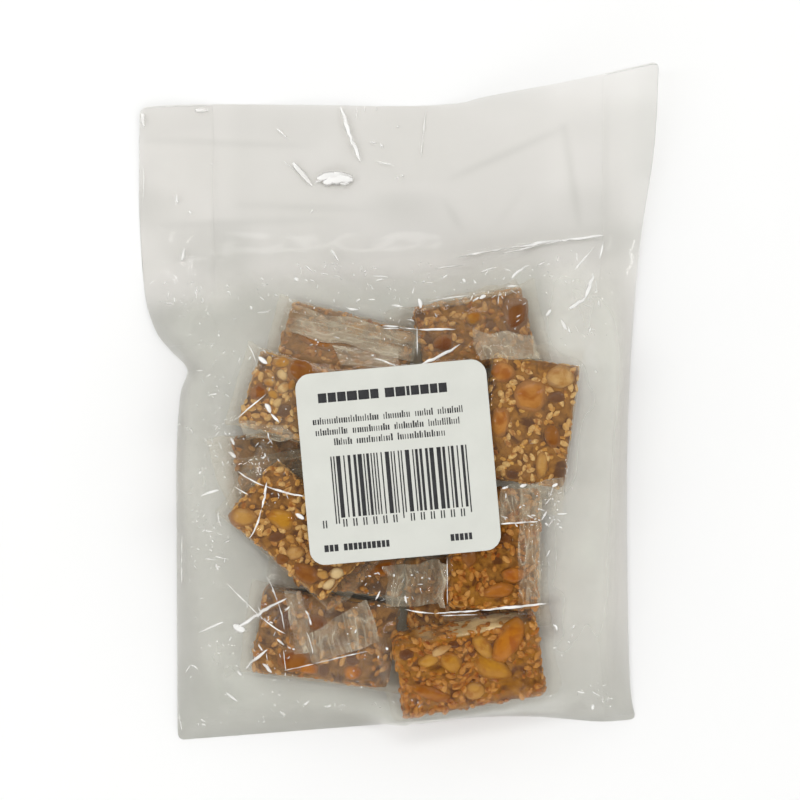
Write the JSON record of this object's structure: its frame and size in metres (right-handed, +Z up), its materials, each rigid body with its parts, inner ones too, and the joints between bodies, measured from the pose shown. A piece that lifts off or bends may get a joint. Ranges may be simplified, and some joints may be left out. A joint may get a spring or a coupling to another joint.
{
  "type": "bag of sesame brittle slabs",
  "caption": "Clear side-gusseted film bag of small wrapped slabs of sesame and peanut brittle, lying on its back, with an empty header and a square paper label.",
  "frame": {"origin": "under the middle of the whole, on the surface that the bag lies on", "axes": "+X across the bag, to the right of who reads the label; +Y up the bag to its header; +Z up, out of the labelled side"},
  "size_m": [0.14, 0.183, 0.0226],
  "materials": {
    "film": "clear crumpled film, glossy",
    "paper": "smooth off-white label paper",
    "print": "dull black thermal print",
    "brittle": "glossy amber caramel",
    "peanut": "roasted, glazed with caramel",
    "sesame": "toasted seed, satin"
  },
  "bodies": {
    "root": {"bag": "film", "label": "paper"}
  },
  "joints": []
}
